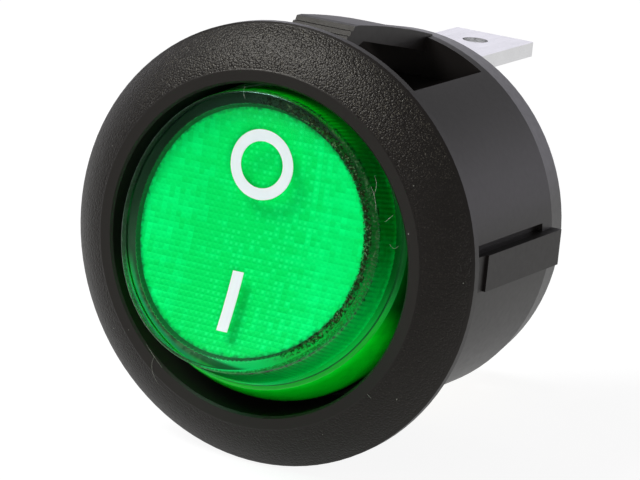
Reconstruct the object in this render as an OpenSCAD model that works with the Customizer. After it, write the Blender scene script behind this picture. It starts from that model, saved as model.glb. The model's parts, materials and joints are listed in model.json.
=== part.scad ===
// Round illuminated panel rocker switch, single pole, off and on, with a neon
// lamp and three flat tabs. Millimetres. +X right, +Y into the panel, +Z up.
// The origin is the centre of the bezel's seating face.

/* [Bezel] */
// Outside diameter of the bezel
bezel_d = 23; // [22:0.1:26]
// Height of the bezel's ring above the panel
bezel_h = 2.25; // [1.8:0.05:3]
// Height of the straight rim at the bezel's edge
rim_h = 0.6; // [0.4:0.05:1]
// Outside diameter of the smooth ring round the opening
ring_d = 18.46; // [18:0.02:20]
// How far the sloping face bulges beyond a straight cone
dome_bulge = 0.14; // [0:0.02:0.3]
// Diameter of the opening and of the rocker well
opening_d = 17.12; // [17.04:0.02:17.3]

/* [Barrel] */
// Diameter of the barrel that passes through the panel
barrel_d = 19.8; // [19.4:0.1:20.2]
// Depth of the barrel behind the panel
barrel_depth = 13.6; // [13.4:0.1:15]
// Length of the tapered end of the barrel
taper_l = 1.9; // [1:0.1:2.2]
// Diameter of the barrel's rear face
taper_d = 19.2; // [18.6:0.1:19.4]
// Thickness of the rear wall
rear_wall = 1; // [0.8:0.05:1.2]
// Depth of the rocker well behind the panel
well_depth = 3.5; // [3.4:0.1:4]
// Half height of the contact chamber
chamber_z = 6.9; // [6.6:0.05:7]
// Wall between the chamber and the latch pockets
inner_wall = 0.7; // [0.5:0.05:0.8]

/* [Latches] */
// Width of a snap arm
arm_w = 3.4; // [3:0.1:4]
// Thickness of a snap arm
arm_t = 0.65; // [0.5:0.05:0.8]
// Radius of the arm's highest ridge
arm_peak_r = 11.3; // [11:0.1:11.5]
// Distance of the highest ridge behind the panel plane
arm_peak_y = 3; // [2.6:0.1:3.4]
// Radius of the first ridge, next to the bezel
arm_tip_r = 9.95; // [9.8:0.05:10.1]
// Distance of the arm's free end behind the panel plane
arm_tip_y = 0.9; // [0.6:0.1:1.2]
// Number of ridges on the arm's gripping face
arm_ridges = 6; // [4:1:8]
// How far the arm's outer face bulges
arm_bow = 0.12; // [0:0.02:0.2]
// Width of the pocket round each arm
pocket_w = 10.2; // [9:0.1:10.6]

/* [Key rib] */
// Width of the key rib
rib_w = 1.9; // [1.6:0.1:2.4]
// Height of the key rib over the barrel
rib_h = 0.5; // [0.3:0.05:0.7]
// Height of the lower front part of the key rib
rib_low_h = 0.34; // [0.2:0.02:0.5]
// Where the lower front part of the key rib starts
rib_front_y = 2.2; // [1.6:0.1:2.8]
// Where the key rib reaches its full height
rib_step_y = 3.2; // [3:0.1:4]
// Distance of the key rib's end from the barrel's rear face
rib_back = 1.85; // [1.5:0.05:2.5]
// Width and depth of the groove along the key rib
rib_groove = 0.4; // [0.2:0.05:0.5]

/* [Rocker] */
// Depth of the rocker's hinge axis behind the panel plane
pivot_y = 1.7; // [1.6:0.05:1.8]
// Tilt of the rocker at each end of its travel
tilt = 12.5; // [11:0.5:13]
// Height of the middle of the rocker's face over the hinge axis
face_h = 5.17; // [5:0.05:5.4]
// Radius of the hollow in the rocker's face
face_hollow_r = 21.7; // [20:0.1:30]
// Diameter of the rocker's face where it leaves the wall
face_d = 14.2; // [13.8:0.1:14.4]
// Draft of the rocker's side wall in degrees
wall_draft = 10; // [6:0.5:11]
// Thickness of the rocker's face
face_t = 0.75; // [0.6:0.05:0.9]
// Radius of the hollow under the face
core_r = 6.55; // [6.4:0.05:6.6]
// Number of ribs round the inside of the side wall
wall_ribs = 168; // [96:12:180]
// Height of the ribs on the inside of the side wall
wall_rib_h = 0.1; // [0.05:0.01:0.15]
// Distance between the rows of prisms under the face
prism_pitch = 0.3; // [0.3:0.05:0.6]
// Height of the prisms under the face
prism_h = 0.08; // [0.04:0.01:0.12]
// Thickness of the skirt
skirt_t = 0.85; // [0.7:0.05:1]
// Radius of the round skirt about the hinge axis
skirt_r = 8.4; // [8.2:0.02:8.42]
// Height of the skirt's upper edge over the hinge axis
skirt_top = 3.1; // [2.9:0.05:3.3]
// Height of the skirt's lower edge over the hinge axis
skirt_end = 0.3; // [0.2:0.05:0.6]
// Radius of the hinge pins
pin_r = 1.1; // [0.9:0.05:1.2]
// How far each hinge pin reaches into the housing's wall
pin_reach = 0.6; // [0.4:0.05:0.7]
// Radial clearance of the hinge pins
pin_gap = 0.05; // [0.03:0.01:0.08]
// Outside radius of the post that holds the plunger
post_r = 2.1; // [2:0.05:2.3]
// Length of the post below the hinge axis
post_l = 5.2; // [4.6:0.1:5.3]

/* [Plunger] */
// Radius of the plunger
plunger_r = 1.2; // [1.1:0.05:1.3]
// Radial clearance of the plunger in the post
plunger_gap = 0.05; // [0.03:0.01:0.08]
// Radius of the plunger's round tip
tip_r = 0.97; // [0.9:0.01:1]
// Clearance between the plunger's tip and the middle of the see-saw
plunger_clear = 0.1; // [0.08:0.01:0.14]
// Length of the plunger
plunger_l = 5.4; // [4.8:0.1:5.6]
// Wall of the plunger's hollow end
cup_wall = 0.35; // [0.3:0.05:0.45]
// Wire diameter of the plunger's spring
spring_wire = 0.24; // [0.2:0.02:0.3]
// Turns of the plunger's spring
spring_turns = 9; // [6:1:10]

/* [Contacts] */
// Height of the fulcrum's axis over the housing's rear floor
fulcrum_lift = 1.9; // [1.8:0.05:1.95]
// Turn of the see-saw between off and on, in degrees
seesaw_swing = 10; // [8:0.5:10]
// Slope of the see-saw's inner arms, in degrees
seesaw_slope = 10; // [9:0.5:10.5]
// Where the see-saw's arms bend back
seesaw_bend_z = 2.6; // [2.4:0.1:2.8]
// Slope of the see-saw's outer arms, in degrees
seesaw_end_slope = 8; // [6:0.5:9]
// Half length of the see-saw
seesaw_z = 5.9; // [5.8:0.05:6.1]
// Width of the see-saw
seesaw_w = 3; // [2.8:0.1:3.2]
// Thickness of the see-saw
seesaw_t = 0.5; // [0.4:0.05:0.55]
// Clearance between the see-saw and its fulcrum
seesaw_gap = 0.03; // [0.02:0.01:0.05]
// Distance of the contact buttons from the fulcrum
contact_z = 4.95; // [4.8:0.05:5.1]
// Radius of the contact buttons
contact_r = 1.25; // [1.1:0.05:1.4]
// Height of the moving contact button
moving_h = 0.5; // [0.4:0.05:0.55]
// Clearance over the fixed contact button when the switch is on
contact_gap = 0.02; // [0.01:0.01:0.06]
// Radius of the rivet shanks of the buttons
shank_r = 0.65; // [0.5:0.05:0.8]

/* [Terminals] */
// Width of a terminal tab
tab_w = 4.75; // [4.6:0.05:4.9]
// Thickness of a terminal tab
tab_t = 0.8; // [0.7:0.02:0.82]
// Distance of the outer tabs' middle planes from the centre
tab_pitch = 7.7; // [7.5:0.05:7.8]
// Length of a tab behind the barrel
tab_l = 9.95; // [8:0.05:12]
// Diameter of the hole in a tab
tab_hole_d = 1.4; // [1.2:0.1:1.8]
// Distance of the hole from the tab's end
tab_hole_end = 2.9; // [2.4:0.1:3.4]
// Size of the chamfers at the tab's end
tab_chamfer = 0.3; // [0.1:0.05:0.8]
// Bevel on the tab's leading edges
tab_bevel = 0.2; // [0.1:0.05:0.3]
// Clearance of the tabs in the rear wall
tab_gap = 0.04; // [0.02:0.01:0.06]
// Width of the tongue that carries the see-saw
tongue_w = 2.4; // [2:0.1:2.8]
// How far the load terminal's foot reaches past the button
foot_margin = 1.5; // [1.4:0.05:1.7]
// Height of the lamp terminal's foot
lamp_foot = 2.4; // [2.3:0.05:2.8]

/* [Lamp] */
// Diameter of the neon lamp
bulb_d = 3.8; // [3.4:0.1:4]
// Length of the neon lamp
bulb_l = 9; // [8:0.1:9.4]
// Distance of the lamp's axis to the right of the centre
bulb_x = 5; // [4.9:0.05:5.1]
// Height of the lamp's axis over the housing's rear floor
bulb_lift = 5; // [4.8:0.1:5.2]
// Glass thickness of the lamp
glass_t = 0.35; // [0.3:0.05:0.5]
// Diameter of the leads
lead_d = 0.4; // [0.3:0.02:0.5]
// Diameter of the resistor's body
resistor_d = 2.2; // [1.8:0.1:2.4]
// Length of the resistor's body
resistor_l = 6; // [5:0.1:6.2]
// Distance of the resistor's axis to the left of the centre
resistor_x = 5; // [4.8:0.1:5.2]
// Height of the resistor's axis over the housing's rear floor
resistor_lift = 3.6; // [3.2:0.1:3.8]
// Length of the glow rods in the lamp
electrode_l = 5.5; // [5:0.1:5.8]
// Distance of each glow rod from the lamp's axis
electrode_gap = 0.7; // [0.6:0.05:0.8]
// Wall of the insulating sleeve
sleeve_t = 0.25; // [0.2:0.05:0.3]
// Radius of the solder beads
solder_r = 0.65; // [0.55:0.05:0.7]

/* [Hidden] */

round_fn = 96;
small_fn = 48;
eps = 0.01;
bezel_r = bezel_d / 2;
ring_r = ring_d / 2;
well_r = opening_d / 2;
barrel_r = barrel_d / 2;
floor_y = barrel_depth - rear_wall;
edge_c = 0.08;
lip_c = 0.12;
slope_in = 0.15;
slope_drop = 0.1;
// How far a raised form is rooted in the wall that carries it.
root_in = 0.5;

// Latch pockets and snap arms.
pocket_z = chamber_z + inner_wall;
pocket_front_y = well_depth + inner_wall;
pocket_end_y = floor_y - tab_t - inner_wall;
well_wall_r = well_r + inner_wall - 0.1;
arm_root_y = barrel_depth - taper_l + 0.1;
arm_root_r = barrel_r - 0.1;
arm_root_t = arm_t + 0.3;
arm_peak_t = arm_t + 0.25;
arm_tip_t = arm_t - 0.1;
arm_land = 0.25;
ridge_front = 0.35;
ridge_y = (arm_peak_y - arm_tip_y) / arm_ridges;
ridge_r = (arm_peak_r - arm_tip_r) / arm_ridges;

// Key rib, its groove and the slot at the groove's front end.
rib_end_y = barrel_depth - rib_back;
groove_end_y = rib_end_y - 1.2;
slot_z = rib_w / 2 + 0.9;

// Cradles and guides on the housing's rear floor.
cradle_wall = 0.3;
cradle_t = 0.8;
bulb_cradle_z = bulb_l / 3;
resistor_cradle_z = resistor_l * 0.37;
guide_gap = 0.15;
guide_t = 0.7;
guide_low_z = 1.2;
guide_high_z = 3.2;

// Rocker, measured from the hinge axis with the rocker level.
skirt_join_r = sqrt(skirt_r * skirt_r - skirt_top * skirt_top);
face_edge_h = face_h + face_d * face_d / (8 * face_hollow_r);
face_trim = 0.4;
wall_foot_r = face_d / 2 + (face_edge_h - skirt_top) * tan(wall_draft);
web_t = 0.8;
boss_r = pin_r + 0.9;
boss_l = 1.1;
bore_r = plunger_r + plunger_gap;
spring_seat = 2.6;

// See-saw, measured with its arms level.
tongue_r = tab_t / 2;
seat_r = tongue_r + seesaw_gap;
seat_wall = 0.35;
seat_lip = 0.22;
fulcrum_y = floor_y - fulcrum_lift;
seesaw_y = fulcrum_y - seat_r - seesaw_t;
bend_y = seesaw_y - seesaw_bend_z * tan(seesaw_slope);
guide_y = fulcrum_y - guide_t;

// Plunger and spring, measured from the hinge axis.
plunger_reach = seesaw_y - pivot_y - plunger_clear;
tip_taper = 0.4;
tip_y = plunger_reach - tip_r;
cup_y = plunger_reach - plunger_l;
cup_depth = 3;
spring_from = -spring_seat;
spring_to = cup_y + cup_depth;
spring_free = spring_to - spring_from - spring_wire;
spring_gap = 0.06;
spring_r = plunger_r - cup_wall - spring_wire / 2 - spring_gap;
// Share of the coil at each end that is wound close, and how close.
close_share = 0.1;
close_pitch = 0.35;

// Terminals, contact buttons and their rivets.
foot_y = floor_y - tab_t;
tab_end = barrel_depth + tab_l;
rivet_tail_h = 0.3;
rivet_tail_r = shank_r + 0.35;
// Heights on a contact button's dome as shares of its height, and the dome's flat as a share of its radius.
button_side = 0.6;
button_shoulder = 0.9;
button_flat = 0.7;
moving_y = arm_back(contact_z + contact_r);
fixed_y = pressed_y(moving_y + moving_h * button_shoulder, contact_z + contact_r * button_flat) + contact_gap;
fixed_h = foot_y - fixed_y;
fit_gap = 0.02;

// Stop that the see-saw's lower arm rests on when the switch is off.
stop_z = 4.6;
stop_w = 2.2;
stop_t = 1.2;
stop_gap = 0.05;
stop_y = pressed_y(arm_back(stop_z + stop_t / 2), stop_z + stop_t / 2) + stop_gap;

// Lamp, resistor and wires.
bulb_y = floor_y - bulb_lift;
resistor_y = floor_y - resistor_lift;
lead_r = lead_d / 2;
tip_l = 0.7;
pinch_l = 1.2;
cap_l = 1.4;
collar_l = 0.2;
lead_grip = 0.6;
lead_out = 0.9;
wire_fn = 24;
wire_bend = 0.7;
tube_up = [0.31, 0.17, 0.93];
stem_z = -bulb_l / 2 + lead_grip;
lead_end_z = bulb_l / 2 + lead_out;
link_y = bulb_y - 0.4;
sleeve_share = 0.68;
joint_drop = 1.3;
joint_y = foot_y - lead_r / 2;
joint_z = chamber_z - solder_r - 0.1;
lamp_joint = [1.4, joint_y, -joint_z];
load_joint = [-1.65, joint_y, joint_z];
lamp_route = [[electrode_x(-1), bulb_y, stem_z], [electrode_x(-1), bulb_y, -lead_end_z],
              lamp_joint - [0, joint_drop, 0], lamp_joint];
link_route = [[electrode_x(1), bulb_y, stem_z], [electrode_x(1), bulb_y, -bulb_l / 2 - 0.35],
              [electrode_x(1) - 0.6, link_y - 1, -lead_end_z - 0.35], [1.5, link_y - 1.4, -6.2],
              [-resistor_x + 1.4, resistor_y - 1.5, -6], [-resistor_x, resistor_y, -resistor_l / 2 - 0.8],
              [-resistor_x, resistor_y, -resistor_l / 2 + lead_grip]];
resistor_route = [[-resistor_x, resistor_y, resistor_l / 2 - lead_grip],
                  [-resistor_x, resistor_y, resistor_l / 2 + lead_out],
                  load_joint - [0, joint_drop, 0], load_joint];

// Depth of the see-saw's front face, and of its rear face, at a distance from the fulcrum.
function arm_front(z) = z < seesaw_bend_z
    ? seesaw_y - z * tan(seesaw_slope)
    : bend_y + (z - seesaw_bend_z) * tan(seesaw_end_slope);

function arm_back(z) = arm_front(z) + seesaw_t;

// Depth of a point on the see-saw's arm that is pressed down: the upper one when on, the lower one when off.
function pressed_y(y, z) = fulcrum_y + (y - fulcrum_y) * cos(seesaw_swing / 2) + z * sin(seesaw_swing / 2);

function electrode_x(side) = bulb_x + side * electrode_gap;

// A profile of radius and depth, turned round the switch's axis.
module turned(fn = round_fn) rotate([-90, 0, 0]) rotate_extrude($fn = fn) children();

// An outline of Y and Z, extruded across X about x_mid.
module across(width, x_mid = 0)
    translate([x_mid - width / 2, 0, 0]) rotate([90, 0, 90]) linear_extrude(width) children();

// A box given by its lowest corner and its highest corner.
module span(low, high) translate(low) cube(high - low);

module rod_x(r, length) rotate([0, 90, 0]) cylinder(r = r, h = length, center = true, $fn = small_fn);

module rod_y(r, from, to)
    translate([0, from, 0]) rotate([-90, 0, 0]) cylinder(r = r, h = to - from, $fn = small_fn);

// A tube swept along a list of points: one ring of sides at each point, square to the path.
module tube(path, d, sides = 8) {
    last = len(path) - 1;
    heading = function (i) let (t = path[min(i + 1, last)] - path[max(i - 1, 0)]) t / norm(t);
    across_x = function (t) let (u = cross(t, tube_up)) u / norm(u);
    rings = [for (i = [0 : last]) let (t = heading(i), u = across_x(t), v = cross(t, u))
        for (k = [0 : sides - 1]) let (a = k * 360 / sides) path[i] + d / 2 * (u * cos(a) + v * sin(a))];
    faces = concat(
        [[for (k = [0 : sides - 1]) k]],
        [for (i = [0 : last - 1]) for (k = [0 : sides - 1]) let (n = (k + 1) % sides)
            [i * sides + k, (i + 1) * sides + k, (i + 1) * sides + n, i * sides + n]],
        [[for (k = [sides - 1 : -1 : 0]) last * sides + k]]);
    polyhedron(rings, faces, convexity = 10);
}

// A point on the curve that rounds the corner b between a and c.
function corner(a, b, c, s) =
    let (p = b + (a - b) * bend_share(a, b), q = b + (c - b) * bend_share(c, b))
    p * (1 - s) * (1 - s) + b * 2 * s * (1 - s) + q * s * s;

function bend_share(a, b) = min(0.45, wire_bend / norm(a - b));

// A wire's path: its ends and a rounded corner at each point between them.
function bent(points) = concat(
    [points[0]],
    [for (i = [1 : len(points) - 2]) for (s = [0 : 0.25 : 1])
        corner(points[i - 1], points[i], points[i + 1], s)],
    [points[len(points) - 1]]);

module wire(points, d) tube(bent(points), d);

// Turns Z to a direction, at a point.
module along(point, direction) translate(point)
    rotate([0, acos(direction[2] / norm(direction)), atan2(direction[1], direction[0])]) children();

module mirror_z() {
    children();
    mirror([0, 0, 1]) children();
}

module mirror_x() {
    children();
    mirror([1, 0, 0]) children();
}

// ---- Housing: bezel, barrel, snap arms and key rib in one moulding ----

// A point on the bezel's bulging slope, from the ring to the rim.
function dome(s) = let (bow = dome_bulge * 4 * s * (1 - s))
    [ring_r + (bezel_r - slope_in - ring_r) * s + bow / 2,
     -bezel_h + (bezel_h - rim_h - slope_drop) * s - bow];

module bezel_profile() polygon(concat(
    [[well_r - eps, 0], [well_r, lip_c - bezel_h], [well_r + lip_c, -bezel_h]],
    [for (i = [0 : 8]) dome(i / 8)],
    [[bezel_r, edge_c - rim_h], [bezel_r, -edge_c], [bezel_r - edge_c, 0]]));

module barrel_profile() polygon([
    [0, -eps], [barrel_r, -eps], [barrel_r, barrel_depth - taper_l],
    [taper_d / 2, barrel_depth - edge_c], [taper_d / 2 - edge_c, barrel_depth], [0, barrel_depth]]);

module chamber() {
    turned() square([well_r, well_depth]);
    translate([0, -eps, 0]) turned() square([well_r, eps * 2]);
    intersection() {
        turned() square([well_r, floor_y]);
        span([-well_r, 0, -chamber_z], [well_r, floor_y, chamber_z]);
    }
}

module latch_pocket() {
    half = pocket_w / 2;
    span([-half, pocket_front_y, pocket_z], [half, pocket_end_y, bezel_r]);
    difference() {
        span([-half, 0, pocket_z], [half, pocket_front_y + eps, bezel_r]);
        rod_y(well_wall_r, -1, pocket_front_y + 1);
    }
}

// A point on the arm's bowed outer face, from its peak to its root.
function arm_face(s) = [arm_peak_y + arm_land + (arm_root_y - arm_peak_y - arm_land) * s,
                        arm_peak_r + (arm_root_r - arm_peak_r) * s + arm_bow * 4 * s * (1 - s)];

module snap_arm() across(arm_w) polygon(concat(
    [for (i = [0 : arm_ridges - 1]) each [
        [arm_tip_y + i * ridge_y, arm_tip_r + i * ridge_r],
        [arm_tip_y + (i + ridge_front) * ridge_y, arm_tip_r + (i + 1) * ridge_r]]],
    [[arm_peak_y, arm_peak_r]],
    [for (i = [0 : 6]) arm_face(i / 6)],
    [[arm_root_y, arm_root_r - arm_root_t],
     [arm_peak_y + arm_peak_t, arm_peak_r - arm_peak_t],
     [arm_tip_y, arm_tip_r - arm_tip_t]]));

module key_rib() {
    half = rib_w / 2;
    span([barrel_r - root_in, rib_front_y, -half], [barrel_r + rib_low_h, rib_step_y + eps, half]);
    span([barrel_r - root_in, rib_step_y, -half], [barrel_r + rib_h, rib_end_y, half]);
}

// Groove along the rib's upper side, with a slot at its front end.
module key_groove() {
    bottom = barrel_r - rib_groove;
    span([bottom, rib_front_y, rib_w / 2], [bezel_r, groove_end_y, rib_w / 2 + rib_groove]);
    span([bottom, rib_front_y - rib_groove / 2, rib_w / 2], [bezel_r, rib_front_y + rib_groove / 2, slot_z]);
}

// Slot in the rear wall that a tab passes through.
module tab_slot(z) span([-tab_w / 2 - tab_gap, foot_y - eps, z - tab_t / 2 - tab_gap],
                        [tab_w / 2 + tab_gap, barrel_depth + eps, z + tab_t / 2 + tab_gap]);

// Cradle of two ribs that holds a round body lying along Z.
module cradle(x, y, d, rib_z) mirror_z() difference() {
    half = d / 2 + cradle_wall;
    span([x - half, y, rib_z - cradle_t / 2], [x + half, floor_y + eps, rib_z + cradle_t / 2]);
    translate([x, y, rib_z]) cylinder(d = d + fit_gap * 2, h = cradle_t * 2, center = true, $fn = small_fn);
}

// Two pairs of posts that keep the see-saw on the fulcrum.
module seesaw_guides() mirror_x() mirror_z() {
    from_x = seesaw_w / 2 + guide_gap;
    span([from_x, guide_y, guide_low_z], [from_x + guide_t, floor_y + eps, guide_high_z]);
}

module housing() color([0.16, 0.155, 0.16]) {
    difference() {
        union() {
            turned() bezel_profile();
            turned() barrel_profile();
            key_rib();
        }
        key_groove();
        chamber();
        mirror_z() latch_pocket();
        translate([0, pivot_y, 0]) rod_x(pin_r + pin_gap, (well_r + pin_reach + pin_gap) * 2);
        tab_slot(0);
        mirror_z() tab_slot(tab_pitch);
        mirror_z() span([-tab_w / 2 - tab_gap, foot_y - tab_gap, chamber_z - eps],
                        [tab_w / 2 + tab_gap, floor_y, tab_pitch + tab_t / 2 + tab_gap]);
        translate([0, 0, contact_z])
            rod_y(rivet_tail_r + tab_gap, floor_y - eps, floor_y + rivet_tail_h + tab_gap);
    }
    mirror_z() snap_arm();
    cradle(bulb_x, bulb_y, bulb_d, bulb_cradle_z);
    cradle(-resistor_x, resistor_y, resistor_d, resistor_cradle_z);
    seesaw_guides();
    span([-stop_w / 2, stop_y, -stop_z - stop_t / 2], [stop_w / 2, floor_y + eps, -stop_z + stop_t / 2]);
}

// ---- Rocker: lens with its prisms and ribs, skirt, hinge pins and plunger post in one moulding ----

module at_rocker() translate([0, pivot_y, 0]) rotate([-tilt, 0, 0]) children();

// Height of the hollow face over the hinge axis, at a distance above or below its middle.
function face_at(z) = face_h + face_hollow_r - sqrt(face_hollow_r * face_hollow_r - z * z);

module wall_cone(top) polygon([
    [0, -skirt_end], [wall_foot_r, -skirt_end], [wall_foot_r, -skirt_top],
    [face_d / 2 - (top - face_edge_h) * tan(wall_draft), -top], [0, -top]]);

module face_hollow() translate([0, -face_h - face_hollow_r, 0]) rotate([0, 90, 0])
    cylinder(r = face_hollow_r, h = bezel_d, center = true, $fn = 180);

// Straight bore with a toothed outline, which leaves ribs on the inside of the side wall.
module ribbed_bore() translate([0, -face_edge_h, 0]) rotate([-90, 0, 0]) linear_extrude(face_edge_h)
    polygon([for (i = [0 : wall_ribs * 2 - 1]) let (a = i * 180 / wall_ribs, r = core_r - (i % 2) * wall_rib_h)
        r * [cos(a), sin(a)]]);

// Space under the face: its roof is rows of prisms that follow the face's hollow.
module prism_roof() let (rows = ceil(core_r / prism_pitch) * 2) across(bezel_d) polygon(concat(
    [for (i = [-rows : rows]) let (z = i * prism_pitch / 2)
        [face_t - face_at(z) - abs(i % 2) * prism_h, z]],
    [[0, well_r], [0, -well_r]]));

module skirt_ball(r, top) intersection() {
    sphere(r = r, $fn = round_fn);
    span([-r, -top, -r], [r, -skirt_end, r]);
}

module rocker() color([0, 0.62, 0.25, 0.75]) at_rocker() {
    difference() {
        union() {
            difference() {
                turned() wall_cone(face_edge_h + face_trim);
                face_hollow();
            }
            skirt_ball(skirt_r, skirt_top);
        }
        difference() {
            union() {
                intersection() {
                    ribbed_bore();
                    prism_roof();
                }
                skirt_ball(skirt_r - skirt_t, skirt_top - skirt_t);
            }
            span([-well_r, -well_r, -web_t / 2], [well_r, 0, web_t / 2]);
            rod_y(post_r, -face_h, 0);
        }
        rod_y(bore_r, -spring_seat, 0);
    }
    difference() {
        union() {
            rod_y(post_r, -skirt_top, post_l);
            mirror_x() difference() {
                translate([skirt_join_r, 0, 0]) rod_x(boss_r, boss_l);
                span([0, -well_r, -well_r], [well_r, -skirt_top, well_r]);
            }
            mirror_x() translate([skirt_join_r, 0, 0]) rotate([0, 90, 0])
                cylinder(r = pin_r, h = well_r + pin_reach - skirt_join_r, $fn = small_fn);
        }
        rod_y(bore_r, -spring_seat, post_l + 1);
    }
}

module plunger() color([0.93, 0.92, 0.88]) at_rocker() difference() {
    union() {
        rod_y(plunger_r, cup_y, tip_y - tip_taper);
        turned(small_fn)
            polygon([[0, tip_y - tip_taper], [plunger_r, tip_y - tip_taper], [tip_r, tip_y], [0, tip_y]]);
        translate([0, tip_y, 0]) sphere(r = tip_r, $fn = small_fn);
    }
    rod_y(plunger_r - cup_wall, cup_y - 1, cup_y + cup_depth);
}

// How far along its length the spring's coil has risen: close turns at both ends.
function spring_rise(s) = let (low = close_share * close_pitch)
    s < close_share ? s * close_pitch
    : s > 1 - close_share ? 1 - (1 - s) * close_pitch
    : low + (s - close_share) * (1 - low * 2) / (1 - close_share * 2);

function spring_path(turn_fn) = [for (i = [0 : spring_turns * turn_fn])
    let (a = i * 360 / turn_fn, s = i / (spring_turns * turn_fn))
    [spring_r * cos(a), spring_from + spring_wire / 2 + spring_free * spring_rise(s), spring_r * sin(a)]];

// Coil spring with close end turns, swept as one tube along a helix.
module plunger_spring() color([0.75, 0.76, 0.78]) at_rocker() tube(spring_path(14), spring_wire, 6);

// ---- Contacts ----

// The see-saw's frame: turned to its off position about the fulcrum.
module at_seesaw() translate([0, fulcrum_y, 0]) rotate([seesaw_swing / 2, 0, 0]) translate([0, -fulcrum_y, 0])
    children();

module seesaw_outline() polygon(concat(
    [for (z = [-seesaw_z, -seesaw_bend_z, 0, seesaw_bend_z, seesaw_z]) [arm_front(abs(z)), z]],
    [for (z = [seesaw_z, seesaw_bend_z]) [arm_back(z), z]],
    [for (side = [1, -1]) [seesaw_y + seesaw_t + seat_lip, side * (seat_r + seat_wall)]],
    [for (z = [seesaw_bend_z, seesaw_z]) [arm_back(z), -z]]));

module seesaw_contact() color([0.80, 0.50, 0.32]) at_seesaw() difference() {
    across(seesaw_w) seesaw_outline();
    translate([0, fulcrum_y, 0]) rod_x(seat_r, seesaw_w + 1);
    translate([0, 0, contact_z]) rod_y(shank_r + fit_gap, bend_y - 1, fulcrum_y + 1);
}

// Domed head of a contact button, standing on y = 0 and facing +Y.
module button_head(h) turned(small_fn)
    polygon([[0, 0], [contact_r, 0], [contact_r, h * button_side],
             [contact_r * button_flat, h * button_shoulder], [0, h]]);

// Wedge under the moving button's head that fills the slope of the see-saw's arm.
module button_wedge() intersection() {
    rod_y(contact_r, arm_back(contact_z - contact_r), moving_y + eps);
    across(contact_r * 2) polygon([[arm_back(contact_z - contact_r) + eps, -contact_r],
                                   [moving_y + eps, contact_r], [moving_y + eps, -contact_r]]);
}

module moving_contact() color([0.85, 0.85, 0.86]) at_seesaw() translate([0, 0, contact_z]) {
    front = arm_front(contact_z - rivet_tail_r);
    rod_y(shank_r, front - rivet_tail_h, moving_y + eps);
    rod_y(rivet_tail_r, front - rivet_tail_h, front);
    button_wedge();
    translate([0, moving_y, 0]) button_head(moving_h);
}

module fixed_contact() color([0.85, 0.85, 0.86]) translate([0, 0, contact_z]) {
    translate([0, foot_y, 0]) mirror([0, 1, 0]) button_head(fixed_h);
    rod_y(shank_r, foot_y - eps, floor_y + rivet_tail_h);
    rod_y(rivet_tail_r, floor_y + eps, floor_y + rivet_tail_h);
}

// Flat tab from a given depth to its end, with a hole and bevelled leading edges.
module tab(z, from) {
    half = tab_w / 2;
    c = tab_chamfer;
    translate([0, 0, z]) difference() {
        intersection() {
            translate([0, 0, -tab_t / 2]) linear_extrude(tab_t)
                polygon([[-half, from], [half, from], [half, tab_end - c * 1.6], [half - c, tab_end],
                         [c - half, tab_end], [-half, tab_end - c * 1.6]]);
            across(tab_w + 1) polygon([
                [from, -tab_t / 2], [tab_end - tab_bevel * 2, -tab_t / 2], [tab_end, tab_bevel - tab_t / 2],
                [tab_end, tab_t / 2 - tab_bevel], [tab_end - tab_bevel * 2, tab_t / 2], [from, tab_t / 2]]);
        }
        translate([0, tab_end - tab_hole_end, 0])
            cylinder(d = tab_hole_d, h = tab_t + 1, center = true, $fn = small_fn);
    }
}

module common_terminal() color([0.80, 0.80, 0.80]) {
    tab(0, foot_y);
    across(tongue_w) translate([fulcrum_y, -tongue_r]) square([foot_y - fulcrum_y + eps, tab_t]);
    translate([0, fulcrum_y, 0]) rod_x(tongue_r, tongue_w);
}

module load_terminal() color([0.80, 0.80, 0.80]) difference() {
    union() {
        tab(tab_pitch, foot_y);
        span([-tab_w / 2, foot_y, contact_z - foot_margin], [tab_w / 2, floor_y, tab_pitch]);
    }
    translate([0, 0, contact_z]) rod_y(shank_r + fit_gap, foot_y - 1, floor_y + 1);
}

module lamp_terminal() color([0.80, 0.72, 0.50]) {
    tab(-tab_pitch, foot_y);
    span([-tab_w / 2, foot_y, -tab_pitch], [tab_w / 2, floor_y, -tab_pitch + lamp_foot]);
}

// ---- Lamp, resistor and their leads ----

module bulb_solid(r, length) {
    cylinder(r = r, h = length - r * 2, center = true, $fn = small_fn);
    for (side = [-1, 1]) translate([0, 0, side * (length / 2 - r)]) sphere(r = r, $fn = small_fn);
}

module neon_bulb() color([0.85, 0.88, 0.90, 0.35]) difference() {
    translate([bulb_x, bulb_y, 0]) {
        bulb_solid(bulb_d / 2, bulb_l);
        translate([0, 0, (bulb_l - tip_l) / 2])
            cylinder(d1 = tip_l * 1.4, d2 = tip_l * 0.7, h = tip_l, $fn = small_fn);
    }
    translate([bulb_x, bulb_y, pinch_l / 2]) bulb_solid(bulb_d / 2 - glass_t, bulb_l - glass_t * 2 - pinch_l);
    for (side = [-1, 1]) translate([electrode_x(side), bulb_y, -bulb_l / 2 - eps])
        cylinder(r = lead_r + fit_gap, h = pinch_l + glass_t * 2, $fn = wire_fn);
}

// Nickel rod inside the lamp, standing on its lead.
module electrode(side) color([0.60, 0.60, 0.58]) translate([electrode_x(side), bulb_y, stem_z + fit_gap])
    cylinder(r = lead_r, h = electrode_l, $fn = wire_fn);

module electrode_left() electrode(-1);

module electrode_right() electrode(1);

module lamp_lead() color([0.75, 0.75, 0.75]) wire(lamp_route, lead_d);

module link_lead() color([0.75, 0.75, 0.75]) wire(link_route, lead_d);

// Insulating sleeve over the long run of the link lead.
module lead_sleeve() color([0.90, 0.88, 0.82]) difference() {
    start = link_route[3];
    run = link_route[4] - start;
    bare = (1 - sleeve_share) / 2;
    along(start + run * bare, run)
        cylinder(d = lead_d + sleeve_t * 2, h = norm(run) * sleeve_share, $fn = wire_fn);
    along(start, run) cylinder(d = lead_d + fit_gap * 4, h = norm(run), $fn = wire_fn);
}

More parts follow.
